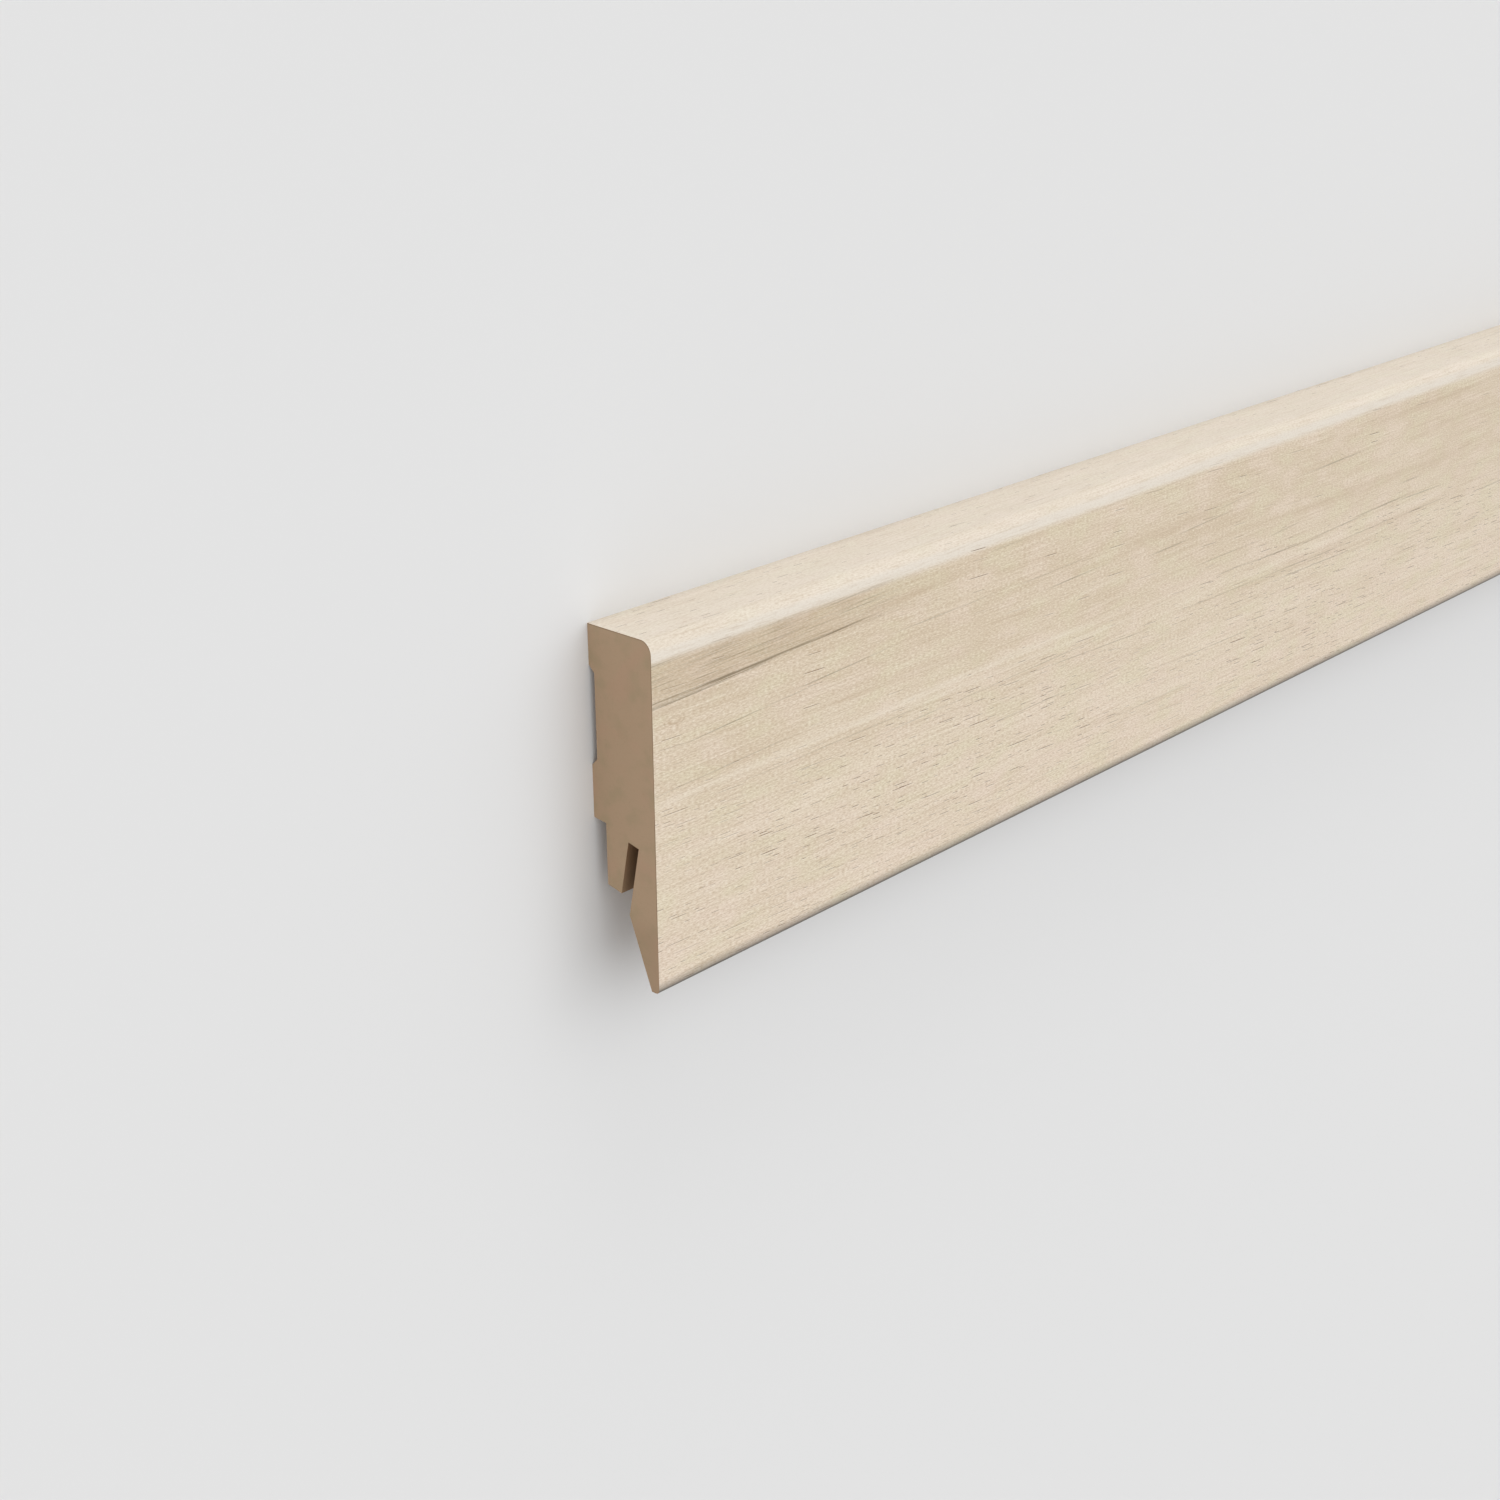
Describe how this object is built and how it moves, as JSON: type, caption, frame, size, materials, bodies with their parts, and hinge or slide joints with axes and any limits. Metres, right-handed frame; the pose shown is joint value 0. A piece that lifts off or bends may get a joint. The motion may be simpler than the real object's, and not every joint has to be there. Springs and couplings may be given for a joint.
{
  "type": "skirting board length",
  "caption": "Straight length of clip-fixed skirting board: a fibreboard profile with a rounded nose, a pale wood-print wrap and a slanted clip slot behind its lip.",
  "frame": {"origin": "under the middle of the board, in the plane of the two wall lands that it lies on", "axes": "+X along the length, +Y from the foot of the lip to the top edge, +Z out of the face. On a wall, +Y points up and +Z into the room"},
  "size_m": [2.4, 0.06, 0.014],
  "materials": {
    "fibreboard": "bare moulded fibreboard, matt",
    "decor": "pale oak print with pressed pores, matt"
  },
  "bodies": {
    "root": {"fibreboard_core": "fibreboard", "decor_wrap": "decor"}
  },
  "joints": []
}
